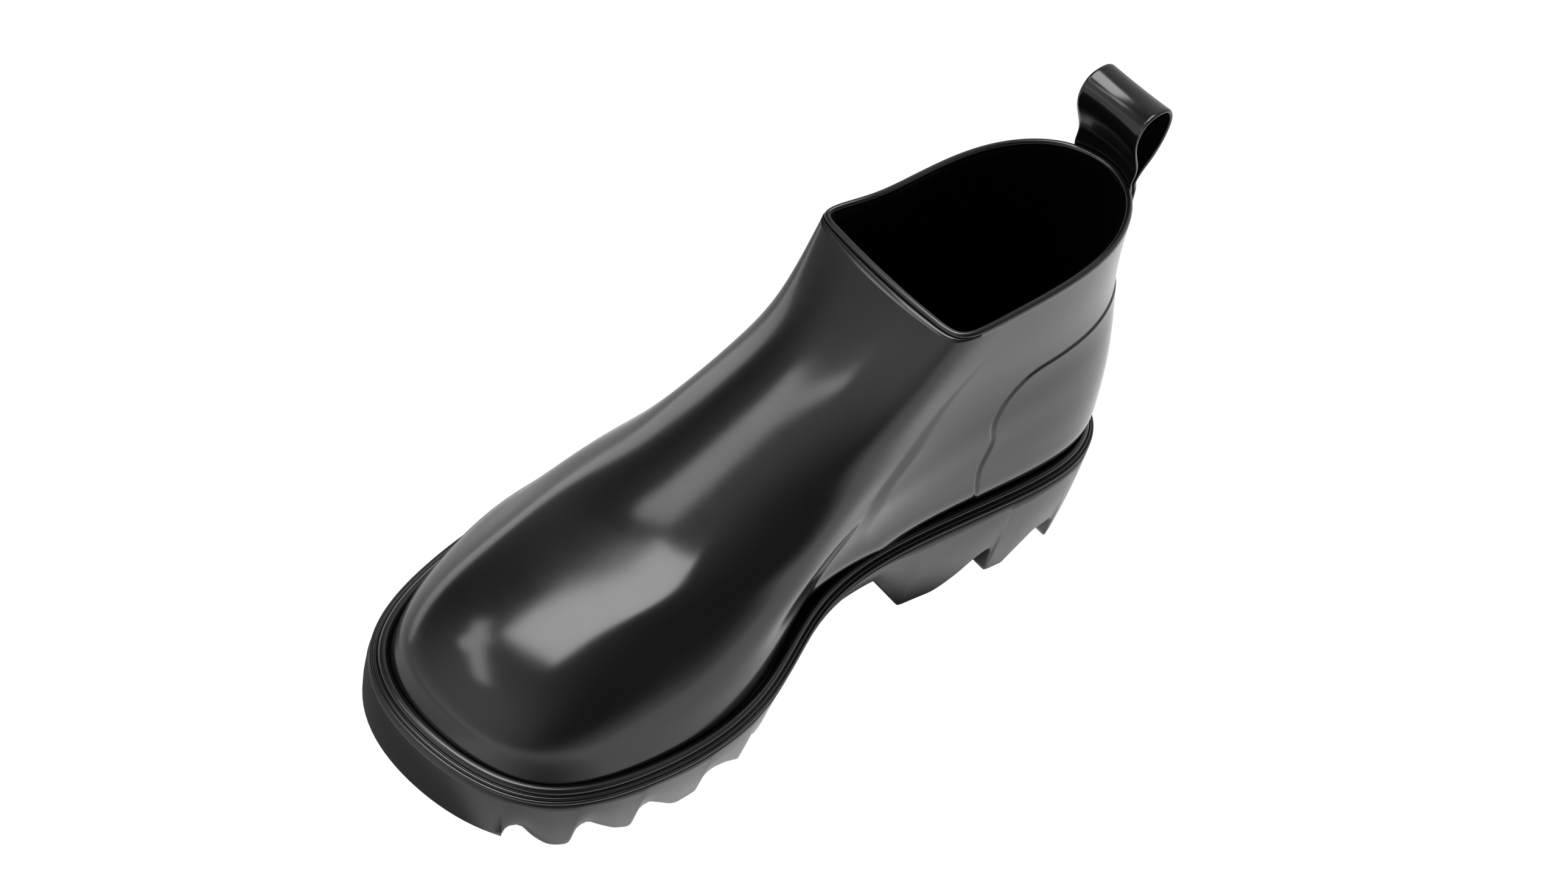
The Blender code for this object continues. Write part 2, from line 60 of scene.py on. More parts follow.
# ---- plan outlines, listed anticlockwise from the back of the heel ------------------------------
STATIONS = 18
WELT_EDGE = [(-1, 139.5), (23, 132.5), (36, 108), (34, 72), (29.5, 36), (33, 2), (48.5, -33), (53, -76),
             (42, -116.5), (5, -135), (-34, -127.5), (-55.5, -91), (-62.5, -52), (-52.5, -10),
             (-42.5, 35), (-38.5, 75), (-37.5, 108), (-24.5, 132.5)]
COLLAR_EDGE = [(0, 128.4), (16.5, 121.5), (28, 103), (31.8, 80), (31.8, 58.5), (31, 44), (27, 36.8),
               (17.5, 35), (7.5, 34.5), (-3, 34.4), (-16, 34.6), (-27.8, 35.2), (-35.8, 37.2),
               (-35.8, 45), (-33.1, 58.5), (-32.8, 80), (-29.7, 103.4), (-18, 122.2)]
FRONT_STATION = 9

# ---- height of the welt underside along the boot -------------------------------------------------
WELT_Y = (-140, 140)
WELT_Z = [31.4, 28.0, 24.2, 26.9, 32.8, 37.9, 41.8, 42.3]

# ---- upper surface, one row per level: front y, front z, back y, back z, inner blend, outer blend,
# lengthwise blend, inner and outer bulge, toe crown, inner and outer shoulder ----------------------
UPPER_ROWS = [
    (-128.7, 33.6, 135.4, 46.6, 0.00, 0.00, 0.00, 0.0, 0.0, 0.00, 0.0, 0.0),
    (-126.0, 38.4, 136.6, 53.8, 0.20, 0.11, 0.06, 4.4, 2.8, 0.04, 2.6, 4.4),
    (-124.6, 42.0, 137.2, 62.5, 0.20, 0.24, 0.08, 3.8, 3.9, 0.05, 0.4, 5.4),
    (-113.0, 54.0, 137.6, 72.4, 0.28, 0.38, 0.13, 3.8, 5.6, 0.10, -3.0, -2.6),
    (-82.2, 64.6, 137.2, 83.5, 0.57, 0.39, 0.16, 4.0, 7.4, 0.08, -0.8, -7.2),
    (-59.0, 66.9, 136.3, 95.7, 0.60, 0.72, 0.35, 3.0, 3.7, 0.06, 2.0, 0.0),
    (-41.4, 76.0, 134.0, 106.2, 0.84, 0.86, 0.29, -6.0, 0.7, 0.13, 6.2, 2.2),
    (-9.2, 96.4, 131.8, 117.0, 0.85, 0.92, 0.53, -6.2, -0.3, 0.08, 3.9, -5.2),
    (11.1, 111.2, 130.1, 129.3, 0.90, 1.14, 0.76, -2.8, -0.1, 0.00, 3.2, -5.6),
    (34.4, 136.2, 128.8, 145.5, 1.00, 1.00, 1.00, 0.0, 0.0, 0.00, 0.0, 1.2)]

# ---- sole profile seen from the side, how far its side stands out at ground level, how much further
# it does so on the outer side, and the depth of the hollow in its top ---------------------------------
TREAD = [(-125, 12), (-123.2, 18.5), (-120.5, 19.5), (-117.5, 14), (-113.5, 9), (-109.5, 7),
         (-106.8, 7.2), (-105, 16.5), (-102.5, 18), (-97.5, 12.5), (-91.5, 6), (-86, 2.2),
         (-84.8, 3), (-83.6, 13.2), (-80.8, 14), (-75, 7.8), (-70, 2), (-66, 0), (-59, 0),
         (-58, 9.6), (-55, 11), (-49, 8), (-43, 2.6), (-40, 0), (-37.8, 0), (-36.8, 9.6),
         (-34.2, 8.4), (-30.5, 0), (-26, 0), (-25, 8.5), (-18, 13.2), (-5, 17.8), (10, 21.6),
         (30, 24.3), (46.5, 0), (56, 0), (61, 0.7), (65.5, 2.6), (70, 6), (75, 11.6), (80.5, 15.5),
         (82.3, 14), (83.2, 0), (91, 0), (97, 8), (102, 13.5), (110.5, 13.5), (112.4, 12),
         (113.2, 0), (121, 0)]
SIDE_FLARE = [(-125, 3.2), (-110, -0.6), (-90, -2.8), (-70, -3.6), (-40, -3.2), (-15, -8.5), (15, -9.5),
              (47, -3.0), (90, -3.8), (113, -3.3), (121, -3.3)]
OUTER_FLARE = [(-125, 0), (-112, 1.2), (-85, 1.6), (-50, 1.0), (-15, 0)]
TUB_DEPTH = [(-118, 5.4), (-105, 6.5), (-60, 8.5), (-40, 8.5), (-32, 3.4), (38, 3.4), (45, 18), (121, 18)]
TUB_INSET = 10.2
LUG_ROUND = 1.7
EDGE_ROUND = 0.8
SIDE_BULGE = 0.5
SOLE_ACROSS = 26

# ---- welt section: two fine ribs and a bead, each with its centre (distance in from the edge, height),
# radius, and the angles where its arc starts and ends -----------------------------------------------
WELT_RIBS = [((-0.6, 0.95), 0.60, -60, 150), ((-1.7, 1.35), 0.62, 0, 160), ((-3.95, 2.0), 1.55, -5, 122)]
WELT_INNER = [(-5.6, 2.7), (-5.66, 1.6), (-5.66, 0.35), (-3.5, 0.35), (-0.6, 0.35)]

# ---- pull tab: line of the strip's edges along the boot and up, then tables by height of its lean
# to the inner side and its half width, and how far the middle sags at the top and bows backwards -----
TAB_LINE = [(125.4, 146), (125.8, 149.5), (124.6, 154), (120.9, 160.9), (118.55, 167.4), (119.3, 172.9),
            (122.8, 175.75), (127.9, 176.4), (131.1, 174.6), (132.65, 169.8), (132.3, 163), (130.8, 156.4),
            (128.9, 151.4), (127.3, 146)]
TAB_LEAN = [(143, -1.9), (150, -1.7), (162, -0.6), (172, 0)]
TAB_HALF = [(143, 13.0), (155, 13.5)]
TAB_SAG = 1.1
TAB_THICK = 1.5
TAB_BOW = 3.7
TAB_ROOT_LEVEL = 0.885
TAB_ROOT_TOP = 142.6
TAB_LAYERS = (1.15, 2.8)

# ---- layers and relief; the edges of the heel panel and of the fold are places round the boot (0 to 1
# from the back), evenly spaced from the welt to COUNTER_REACH or CREASE_TOP up the upper --------------
WELT_WIDTH = 5.8
WELT_THICK = 3.5
UPPER_THICK = 2.4
LINING_DEPTH = (3.4, 5.3)
RIM_RADIUS = 1.2
COUNTER_FRONT = (0.1737, 0.1745, 0.1765, 0.1802, 0.182, 0.1835)
COUNTER_REACH = 0.75
COUNTER_TOP = (0.708, -0.018)
COUNTER_STEP = 0.42
COUNTER_GROOVE = 0.3
COUNTER_CORNER = 9.0
CREASE_TOP = 0.9
CREASE_FRONT = (0.288, 0.282, 0.274, 0.268, 0.273, 0.272, 0.271, 0.269, 0.254, 0.228)
CREASE_REAR = (0.222, 0.232, 0.241, 0.247, 0.257, 0.258, 0.254, 0.2565, 0.247, 0.228)
CREASE_STEEP = 0.05
CREASE_FADE = 12.0

# ---- mesh fineness --------------------------------------------------------------------------------
COLUMNS = 432
LEVELS = 190
SOLE_SAMPLE = 1.6


# ---- curves ---------------------------------------------------------------------------------------
def basis(t, count, closed):
    """Uniform cubic B-spline weights: one line per parameter, one column per control point."""
    t = np.atleast_1d(np.asarray(t, float))
    x = t * count if closed else t * (count - 1)
    cell = np.floor(x).astype(int)
    if not closed:
        cell = np.clip(cell, 0, count - 2)
    f = x - cell
    weights = [(1 - f) ** 3 / 6, (3 * f ** 3 - 6 * f ** 2 + 4) / 6,
               (-3 * f ** 3 + 3 * f ** 2 + 3 * f + 1) / 6, f ** 3 / 6]
    lines = np.arange(len(t))
    if closed:
        out = np.zeros((len(t), count))
        for step, weight in zip((-1, 0, 1, 2), weights):
            np.add.at(out, (lines, (cell + step) % count), weight)
        return out
    wide = np.zeros((len(t), count + 2))
    for step, weight in zip((0, 1, 2, 3), weights):
        np.add.at(wide, (lines, cell + step), weight)
    out = wide[:, 1:-1].copy()
    for ghost, near, far in ((wide[:, 0], 0, 1), (wide[:, -1], -1, -2)):
        out[:, near] += 2 * ghost
        out[:, far] -= ghost
    return out


def loop_through(points, count):
    """Closed smooth curve through the points, sampled evenly in parameter."""
    points = np.asarray(points, float)
    n = len(points)
    control = np.linalg.solve(basis(np.arange(n) / n, n, True), points)
    return basis(np.arange(count) / count, n, True) @ control


def open_through(points, parameters):
    """Open smooth curve through the points, read at parameters from 0 to 1."""
    points = np.asarray(points, float)
    n = len(points)
    control = np.linalg.solve(basis(np.linspace(0, 1, n), n, False), points)
    return basis(parameters, n, False) @ control


def outward(points):
    """Unit normals in plan, pointing away from the middle of a closed loop."""
    step = np.roll(points, -1, 0) - np.roll(points, 1, 0)
    normal = np.c_[step[:, 1], -step[:, 0]]
    normal /= np.linalg.norm(normal, axis=1)[:, None]
    if (normal * (points[:, :2] - points[:, :2].mean(0))).sum() < 0:
        normal = -normal
    return normal


def welt_line(y):
    """Height of the line where the welt meets the side of the sole."""
    y = np.asarray(y, float)
    t = np.clip((y - WELT_Y[0]) / (WELT_Y[1] - WELT_Y[0]), 0, 1)
    return open_through(WELT_Z, t.ravel()).reshape(y.shape)


def table(pairs, y):
    """Straight-line reading of a (distance, value) table."""
    xs, values = zip(*pairs)
    return np.interp(y, xs, values)


def smooth_step(x):
    x = np.clip(x, 0, 1)
    return x * x * (3 - 2 * x)


def crowded(count, places, extra, reach, closed=True):
    """Parameters from 0 to 1, closer together near the given places."""
    fine = np.linspace(0, 1, 8193)
    density = np.ones_like(fine)
    for place in places:
        apart = np.abs(fine - place)
        apart = np.minimum(apart, 1 - apart) if closed else apart
        density += extra * np.exp(-(apart / reach) ** 2)
    total = np.r_[0, np.cumsum((density[1:] + density[:-1]) / 2)]
    want = np.arange(count) / count if closed else np.linspace(0, 1, count)
    return np.interp(want, total / total[-1], fine)


# ---- upper surface --------------------------------------------------------------------------------
def upper_net():
    """Grid of points that steers the outside of the upper."""
    edge = np.array(WELT_EDGE, float)
    collar = np.array(COLLAR_EDGE, float)
    foot = edge - outward(edge) * WELT_WIDTH
    normal = outward(foot)
    back, front = foot[0, 1], foot[FRONT_STATION, 1]
    along_foot = (back - foot[:, 1]) / (back - front)
    along_collar = (collar[0, 1] - collar[:, 1]) / (collar[0, 1] - collar[FRONT_STATION, 1])
    height = welt_line(foot[:, 1]) + WELT_THICK
    wave = height - (height[0] + along_foot * (height[FRONT_STATION] - height[0]))
    toe = np.exp(-((np.arange(STATIONS) - FRONT_STATION) / 2.4) ** 2)
    inner = np.clip(foot[:, 0] / 25 + 0.5, 0, 1)
    rows = []
    for (yf, zf, yb, zb, blend_in, blend_out, lengthwise, bulge_in, bulge_out, crown,
         *shoulders) in UPPER_ROWS:
        blend = blend_in * inner + blend_out * (1 - inner)
        bulge = bulge_in * inner + bulge_out * (1 - inner)
        along = (1 - lengthwise) * along_foot + lengthwise * along_collar
        x = (1 - blend) * (foot[:, 0] + normal[:, 0] * bulge) * (1 - crown * toe) + blend * collar[:, 0]
        y = yb + along * (yf - yb)
        shoulder = shoulders[0] * inner + shoulders[1] * (1 - inner)
        z = zb + along * (zf - zb) + (1 - blend) * wave + shoulder * 9.5 * along ** 3 * (1 - along)
        rows.append(np.c_[x, y, z])
    net = np.array(rows)
    stations = np.arange(STATIONS) / STATIONS
    return np.einsum('jk,rkc->rjc', np.linalg.inv(basis(stations, STATIONS, True)), net)


UPPER_NET = upper_net()


def upper_points(u, v):
    """Grids of points on the outside of the upper and outward normals, for grids of u and v."""
    shape = np.shape(u)
    u, v = np.ravel(u), np.ravel(v)
    step = 1e-3

    def at(u, v):
        rows = np.einsum('nr,rkc->nkc', basis(v, len(UPPER_NET), False), UPPER_NET)
        return np.einsum('nkc,nk->nc', rows, basis(u, STATIONS, True))

    points = at(u, v)
    low, high = np.maximum(v - step, 0), np.minimum(v + step, 1)
    normal = np.cross(at(u + step, v) - at(u - step, v), at(u, high) - at(u, low))
    normal /= np.linalg.norm(normal, axis=1)[:, None]
    if (normal[:, :2] * (points[:, :2] - points[:, :2].mean(0))).sum() < 0:
        normal = -normal
    return points.reshape(*shape, 3), normal.reshape(*shape, 3)


def eased_normals(u, v):
    """Outward directions averaged along the boot, so that layers at tight corners do not fold."""
    total = 0
    for shift, weight in ((-3, 1), (-2, 2), (-1, 3), (0, 3), (1, 3), (2, 2), (3, 1)):
        total = total + weight * upper_points(u + shift / 54, v)[1]
    return total / np.linalg.norm(total, axis=-1)[..., None]


def inner_layer(u, v, depth):
    """Grid of points under the outside of the upper."""
    return upper_points(u, v)[0] - eased_normals(u, v) * np.broadcast_to(depth, u.shape)[..., None]


def rim_level(u, drop):
    """The v at which the upper lies a given distance below its top line."""
    top = upper_points(u, np.ones_like(u))[0]
    lower = upper_points(u, np.full_like(u, 0.97))[0]
    return 1 - 0.03 * drop / (top[..., 2] - lower[..., 2])


def counter_top(u):
    """Level of the heel panel's upper edge, a little lower at the very back."""
    reach = np.minimum(u, 1 - u) / COUNTER_FRONT[-1]
    return COUNTER_TOP[0] + COUNTER_TOP[1] * np.clip(1 - reach ** 2, 0, 1)


def along_rows(points):
    """Distance round the boot from the back, for each row of a grid of points."""
    step = np.linalg.norm(np.diff(points, axis=1), axis=2)
    return np.c_[np.zeros(len(points)), np.cumsum(step, axis=1)]


def counter_relief(u, v, points):
    """Raised heel panel with a rounded upper front corner and a fine groove along its edge."""
    round_boot = np.linalg.norm(np.diff(points, axis=1), axis=2).sum(1)[:, None]
    front = open_through(COUNTER_FRONT, np.clip(v / COUNTER_REACH, 0, 1).ravel()).reshape(v.shape)
    ahead = (np.minimum(u, 1 - u) - front) * round_boot
    over = (v - counter_top(u)) * (points[-1, :, 2] - points[0, :, 2])[None, :]
    a, b = ahead + COUNTER_CORNER, over + COUNTER_CORNER
    apart = np.hypot(np.maximum(a, 0), np.maximum(b, 0)) + np.minimum(np.maximum(a, b), 0) - COUNTER_CORNER
    panel = COUNTER_STEP * (1 - smooth_step((apart + 0.45) / 0.9))
    return panel - COUNTER_GROOVE * np.exp(-((apart - 0.55) / 0.4) ** 2)


def crease_relief(u, v, points):
    """Shallow fold on the inner side, running from the waist up to the collar's front corner."""
    along = along_rows(points)
    level = v[:, 0]
    at = {}
    for name, line in (("front", CREASE_FRONT), ("rear", CREASE_REAR)):
        place = open_through(line, np.clip(level / CREASE_TOP, 0, 1))
        at[name] = np.array([np.interp(p, u[i], along[i]) for i, p in enumerate(place)])[:, None]
    width = np.maximum(at["front"] - at["rear"], 1e-3)
    relief = 0
    shifts = (-0.8, -0.4, 0.0, 0.4, 0.8)
    for shift in shifts:
        s = along + shift
        band = 1 - 2 * (s - at["rear"]) / width
        behind = np.exp(-np.maximum(at["rear"] - s, 0) / CREASE_FADE)
        before = -np.exp(-np.maximum(s - at["front"], 0) / CREASE_FADE)
        relief = relief + np.where(s < at["rear"], behind, np.where(s > at["front"], before, band))
    return CREASE_STEEP * width * relief / len(shifts)


# ---- mesh helpers ---------------------------------------------------------------------------------
def in_frame(points):
    return (np.asarray(points, float) - MIDDLE) * MM


def add_mesh(name, points, faces, *materials):
    """Smooth-shaded mesh object from table millimetres, facing out."""
    placed = in_frame(points)
    mesh = bpy.data.meshes.new(name)
    mesh.from_pydata(placed.tolist(), [], [tuple(map(int, f)) for f in faces])
    mesh.validate()
    mesh.polygons.foreach_set("use_smooth", [True] * len(mesh.polygons))
    made = bpy.data.objects.new(name, mesh)
    bpy.context.scene.collection.objects.link(made)
    if volume(mesh) < 0:
        mesh.flip_normals()
    for each in materials:
        mesh.materials.append(each)
    return made


def volume(mesh):
    """Signed volume inside a closed mesh."""
    mesh.calc_loop_triangles()
    places = np.array([v.co for v in mesh.vertices])
    corners = np.array([t.vertices for t in mesh.loop_triangles])
    a, b, c = (places[corners[:, k]] for k in range(3))
    return float(np.einsum('nk,nk->n', a, np.cross(b, c)).sum() / 6)


def ring_faces(rows, columns, wrap=True):
    """Quads between closed rings of points; wrap joins the last ring to the first."""
    j = np.arange(columns)
    k = (j + 1) % columns
    faces = []
    for i in range(rows if wrap else rows - 1):
        below, above = i * columns, ((i + 1) % rows) * columns
        faces.append(np.stack([below + j, below + k, above + k, above + j], 1))
    return np.vstack(faces)


def grid_faces(rows, columns, start=0):
    i, j = np.meshgrid(np.arange(rows - 1), np.arange(columns - 1), indexing="ij")
    a = (start + i * columns + j).ravel()
    return np.stack([a, a + 1, a + columns + 1, a + columns], 1)


def strip_faces(low, high):
    """Quads between two closed lists of vertex numbers."""
    low, high = np.asarray(low), np.asarray(high)
    return np.stack([low, np.roll(low, -1), np.roll(high, -1), high], 1)


def perimeter(rows, columns):
    """Indices round the edge of a grid, in the direction row 0 first."""
    edge = list(range(columns))
    edge += [i * columns + columns - 1 for i in range(1, rows)]
    edge += [(rows - 1) * columns + j for j in range(columns - 2, -1, -1)]
    edge += [i * columns for i in range(rows - 2, 0, -1)]
    return edge


# ---- sole grid --------------------------------------------------------------------------------------
def even(points, count):
    """Points spaced evenly by length along an open line."""
    length = np.r_[0, np.cumsum(np.linalg.norm(np.diff(points, axis=0), axis=1))]
    want = np.linspace(0, length[-1], count)
    return np.c_[np.interp(want, length, points[:, 0]), np.interp(want, length, points[:, 1])]


PLAN_EDGE = loop_through(WELT_EDGE, 1440)
PLAN_NORMAL = outward(PLAN_EDGE)


def sole_grid(ys, offset, across, outer=0.0):
    """Plan grid filling the sole outline; its first and last rows follow the toe and the heel.

    offset moves both sides out, and outer moves the outer side further."""
    ys = np.asarray(ys, float)
    offset = np.broadcast_to(np.asarray(offset, float), ys.shape)
    half = len(PLAN_EDGE) // 2
    sides = []
    for part in (slice(half, None), slice(0, half)):
        side, lean = PLAN_EDGE[part], PLAN_NORMAL[part]
        order = np.argsort(side[:, 1])
        x = np.interp(ys, side[order, 1], side[order, 0])
        nx = np.interp(ys, side[order, 1], lean[order, 0])
        sides.append(x + offset / nx)
    left, right = sides
    left = left - outer
    grid = np.zeros((len(ys), across + 1, 2))
    grid[:, :, 0] = left[:, None] + (right - left)[:, None] * np.linspace(0, 1, across + 1)
    grid[:, :, 1] = ys[:, None]
    for k, sign in ((0, 1), (-1, -1)):
        arc = PLAN_EDGE + PLAN_NORMAL * offset[k]
        arc = arc[(ys[k] - arc[:, 1]) * sign > 0.5]
        arc = arc[np.argsort(arc[:, 0])]
        grid[k] = even(np.vstack([grid[k, 0], arc, grid[k, -1]]), across + 1)
    return grid


# ---- materials --------------------------------------------------------------------------------------
class Finish:
    """Principled material whose colour, roughness and bump come from procedural texture."""

    def __init__(self, name, roughness=None, **sockets):
        self.made = bpy.data.materials.new(name)
        self.made.use_nodes = True
        self.tree = self.made.node_tree
        self.shader = self.tree.nodes["Principled BSDF"]
        for socket, value in sockets.items():
            self.shader.inputs[socket.replace("_", " ")].default_value = value
        self.place = self.tree.nodes.new("ShaderNodeTexCoord").outputs["Object"]
        self.bump_from = None

    def node(self, kind, **inputs):
        made = self.tree.nodes.new(kind)
        for key, value in inputs.items():
            socket = made.inputs[key.replace("_", " ")]
            if isinstance(value, bpy.types.NodeSocket):
                self.tree.links.new(value, socket)
            else:
                socket.default_value = value
        return made

    def noise(self, size, detail=2.0, stretch=(1, 1, 1), rough=0.5):
        """Noise whose blotches are about size metres across."""
        mapped = self.node("ShaderNodeMapping", Vector=self.place, Scale=stretch)
        return self.node("ShaderNodeTexNoise", Vector=mapped.outputs[0], Scale=1 / size, Detail=detail,
                         Roughness=rough).outputs["Fac"]

    def weave(self, size, axis):
        """Bands of knitted ribs about size metres apart."""
        wave = self.node("ShaderNodeTexWave", Vector=self.place, Scale=0.314 / size, Distortion=1.5,
                         Detail=1.0, Detail_Scale=2.0)
        wave.bands_direction = axis
        return wave.outputs["Fac"]

    def between(self, value, low, high):
        """A 0 to 1 value spread between two numbers or two colours."""
        if isinstance(low, tuple):
            ramp = self.tree.nodes.new("ShaderNodeValToRGB")
            ramp.color_ramp.elements[0].color = (*low, 1)
            ramp.color_ramp.elements[1].color = (*high, 1)
            ramp.color_ramp.elements[0].position, ramp.color_ramp.elements[1].position = 0.3, 0.7
            self.tree.links.new(value, ramp.inputs[0])
            return ramp.outputs[0]
        made = self.node("ShaderNodeMapRange", Value=value, From_Min=0.3, From_Max=0.7, To_Min=low,
                         To_Max=high)
        return made.outputs[0]

    def set(self, socket, value):
        self.tree.links.new(value, self.shader.inputs[socket])

    def bump(self, height, depth, strength=1.0):
        """Adds relief of about depth metres."""
        inputs = dict(Height=height, Distance=depth, Strength=strength)
        if self.bump_from is not None:
            inputs["Normal"] = self.bump_from
        self.bump_from = self.node("ShaderNodeBump", **inputs).outputs[0]
        self.set("Normal", self.bump_from)


def rubber(name, dark, light, smoothest, roughest, grain, ripple):
    """Moulded black rubber: blotchy sheen, fine grain and a faint long ripple from the mould.

    grain and ripple are depths in thousandths of a millimetre."""
    finish = Finish(name, IOR=1.5)
    finish.set("Base Color", finish.between(finish.noise(0.035, 4.0), dark, light))
    finish.set("Roughness", finish.between(finish.noise(0.012, 5.0, rough=0.6), smoothest, roughest))
    finish.bump(finish.noise(0.0011, 2.0), grain * 1e-6)
    finish.bump(finish.noise(0.014, 1.0), ripple * 1e-6)
    return finish.made


def knit(name, dark, light):
    finish = Finish(name, Specular_IOR_Level=0.03)
    rib = finish.weave(0.0012, "X")
    finish.set("Base Color", finish.between(rib, dark, light))
    finish.set("Roughness", finish.between(finish.noise(0.004), 0.92, 1.0))
    finish.bump(rib, 0.0001)
    finish.bump(finish.weave(0.0009, "Z"), 0.00008)
    return finish.made


def foam(name, dark, light):
    finish = Finish(name, Specular_IOR_Level=0.25)
    finish.set("Base Color", finish.between(finish.noise(0.0016, 4.0), dark, light))
    finish.set("Roughness", finish.between(finish.noise(0.003), 0.8, 0.95))
    finish.bump(finish.noise(0.0009, 3.0), 0.0003)
    return finish.made


def fibre_board(name, dark, light):
    finish = Finish(name, Specular_IOR_Level=0.3)
    fibres = finish.noise(0.002, 6.0, (1, 0.12, 1), 0.65)
    finish.set("Base Color", finish.between(fibres, dark, light))
    finish.set("Roughness", finish.between(finish.noise(0.004), 0.65, 0.85))
    finish.bump(fibres, 0.00012)
    return finish.made


def rolled_steel(name):
    finish = Finish(name, Metallic=1.0)
    lines = finish.noise(0.0025, 4.0, (1, 0.03, 1))
    finish.set("Base Color", finish.between(lines, (0.42, 0.43, 0.45), (0.58, 0.59, 0.61)))
    finish.set("Roughness", finish.between(lines, 0.28, 0.45))
    finish.bump(lines, 0.00003)
    return finish.made


# ---- pieces -----------------------------------------------------------------------------------------
def upper_skin(finish):
    """Shell of the upper with the heel panel and the fold moulded in."""
    columns = crowded(COLUMNS, (0.178, 0.822), 3.0, 0.007)
    share = crowded(LEVELS, (0.75,), 2.5, 0.012, closed=False)[:, None]
    edge = counter_top(columns)[None, :]
    last = rim_level(columns, RIM_RADIUS + 0.1)[None, :]
    v = np.where(share < 0.75, edge * share / 0.75, edge + (last - edge) * (share - 0.75) / 0.25)
    u = np.broadcast_to(columns, v.shape)
    points, normal = upper_points(u, v)
    relief = counter_relief(u, v, points) + crease_relief(u, v, points)
    outer = points + normal * relief[..., None]
    foot = outer[:1].copy()
    foot[..., 2] = welt_line(foot[..., 1]) + 0.6
    seat = bead_rings(columns, RIM_RADIUS + 0.04, np.linspace(-0.1, -np.pi / 2, 5))
    deep = np.linspace(0, 1, 9)[:, None] * rim_level(columns, 2 * RIM_RADIUS + 0.4)
    inner = inner_layer(np.broadcast_to(columns, deep.shape), deep, UPPER_THICK)
    inner_foot = inner[:1].copy()
    inner_foot[..., 2] = welt_line(inner_foot[..., 1]) + 0.6
    rings = np.concatenate([foot, outer, seat, inner[::-1], inner_foot])
    return add_mesh("upper_skin", rings.reshape(-1, 3), ring_faces(len(rings), COLUMNS), finish)


def bead_rings(u, radius, angles):
    """Lines along the bead at the given angles round its section: 0 faces out, a quarter turn up."""
    top = np.ones_like(u)
    away = eased_normals(u, top)
    away[:, 2] = 0
    away /= np.linalg.norm(away, axis=1)[:, None]
    centre = upper_points(u, top)[0] - away * RIM_RADIUS - (0, 0, RIM_RADIUS)
    return np.array([centre + radius * (away * np.cos(a) + np.array((0, 0, np.sin(a)))) for a in angles])


def rim_bead(finish):
    """Rolled bead along the top line."""
    angles = np.linspace(0, 2 * np.pi, 20, endpoint=False)
    rings = bead_rings(np.arange(COLUMNS) / COLUMNS, RIM_RADIUS, angles)
    return add_mesh("rim_bead", rings.reshape(-1, 3), ring_faces(len(rings), COLUMNS), finish)


def lining_skin(finish):
    """Knitted lining bonded inside the shell, from the insole up to the bead."""
    u = np.arange(288) / 288
    level = np.linspace(0, 1, 60)[:, None]
    top = rim_level(u, RIM_RADIUS + 0.6)[None, :]
    v = level * top
    uu = np.broadcast_to(u, v.shape)
    rise = smooth_step((level - 0.72) / 0.2)
    near = inner_layer(uu, v, LINING_DEPTH[0] - 0.9 * rise)
    far = inner_layer(uu, v, LINING_DEPTH[1] - 2.1 * rise)
    feet = []
    for sheet in (near, far):
        foot = sheet[:1].copy()
        foot[..., 2] = welt_line(foot[..., 1]) + 1.3
        feet.append(foot)
    rings = np.concatenate([feet[0], near, far[::-1], feet[1]])
    return add_mesh("lining_skin", rings.reshape(-1, 3), ring_faces(len(rings), len(u)), finish)


def welt_strip(finish):
    """Ribbed strip round the foot of the upper."""
    section = []
    for (out, up), radius, first, last in WELT_RIBS:
        for angle in np.radians(np.linspace(first, last, 11)):
            section.append((out + radius * np.cos(angle), up + radius * np.sin(angle)))
    count = 720
    edge = loop_through(WELT_EDGE, count)
    u = np.arange(count) / count
    foot = upper_points(u, np.zeros(count))[0][:, :2]
    base = welt_line(edge[:, 1])
    rings = []
    for out, up in section + WELT_INNER:
        plan = edge + (edge - foot) * out / WELT_WIDTH
        rings.append(np.c_[plan, base + up])
    return add_mesh("welt_strip", np.array(rings).reshape(-1, 3), ring_faces(len(rings), count), finish)


def tread_profile():
    """Side profile of the tread with softly rounded lugs: points, and directions into the rubber."""
    line = np.array(TREAD, float)
    total = np.linalg.norm(np.diff(line, axis=0), axis=1).sum()
    line = even(line, int(total / 0.35))
    reach = np.arange(-14, 15) * 0.35
    weight = np.exp(-(reach / LUG_ROUND) ** 2)
    weight /= weight.sum()
    padded = np.vstack([np.repeat(line[:1], 14, 0), line, np.repeat(line[-1:], 14, 0)])
    smooth = np.stack([np.convolve(padded[:, k], weight, "valid") for k in range(2)], 1)
    height = np.where(line[:, 1] < 0.01, np.minimum(smooth[:, 1], 1.2), smooth[:, 1])
    smooth[:, 1] = np.where(height < 3, np.interp(height, (0, 0.5, 3), (0, 0, 3)), height)
    line = even(smooth, int(total / SOLE_SAMPLE))
    step = np.gradient(line, axis=0)
    inward = np.c_[-step[:, 1], step[:, 0]]
    return line, inward / np.linalg.norm(inward, axis=1)[:, None]


